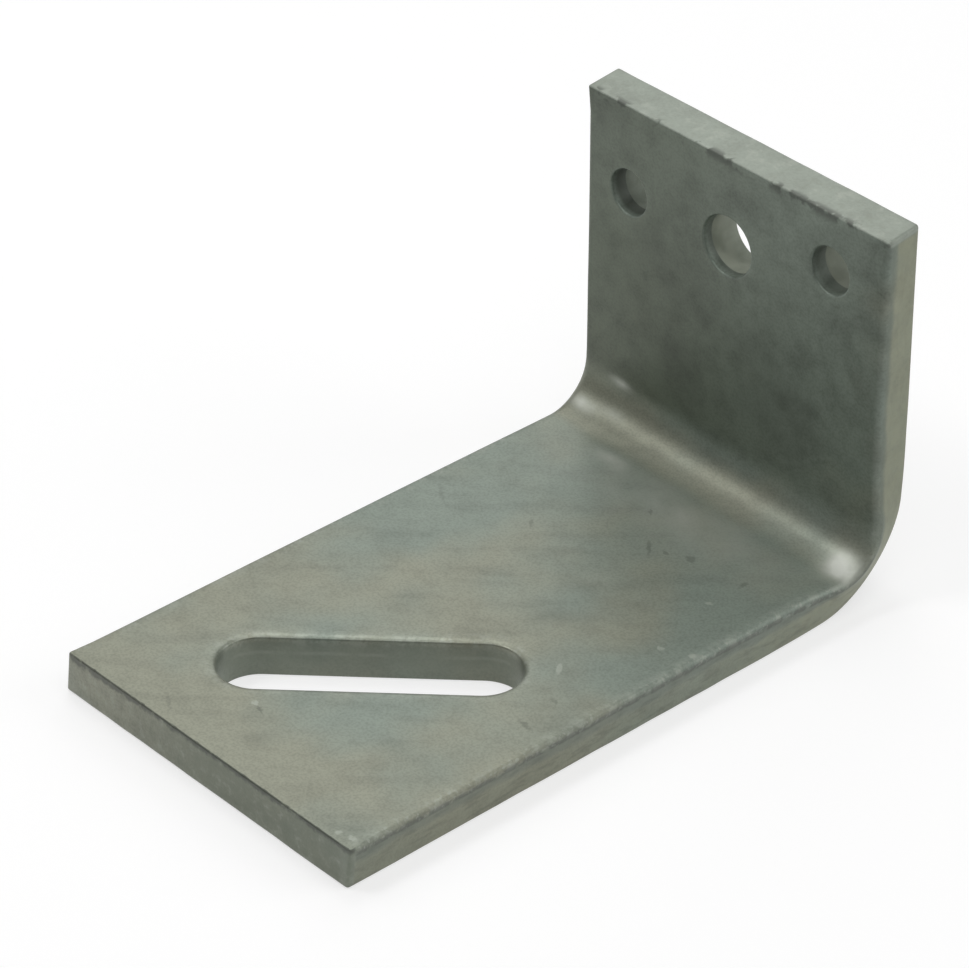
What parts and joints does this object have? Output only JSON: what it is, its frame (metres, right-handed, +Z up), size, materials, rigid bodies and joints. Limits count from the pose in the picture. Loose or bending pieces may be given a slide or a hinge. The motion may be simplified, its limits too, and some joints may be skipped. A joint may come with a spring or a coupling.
{
  "type": "heavy angle anchor",
  "caption": "Heavy L-shaped anchor folded from thick galvanised flat bar, with a slanted slot in the foot and punched holes in the upright, for bolting a panel or beam to concrete.",
  "frame": {"origin": "middle of the anchor's outline, at the height of the foot's underside", "axes": "+Z up from the underside, +Y from the foot's free end to the back of the upright, +X across the bar to the right as seen from the free end"},
  "size_m": [0.0718, 0.122, 0.07],
  "materials": {
    "galvanised_steel": "hot-dip galvanised, dull and mottled"
  },
  "bodies": {
    "root": {"angle_anchor": "galvanised_steel"}
  },
  "joints": []
}
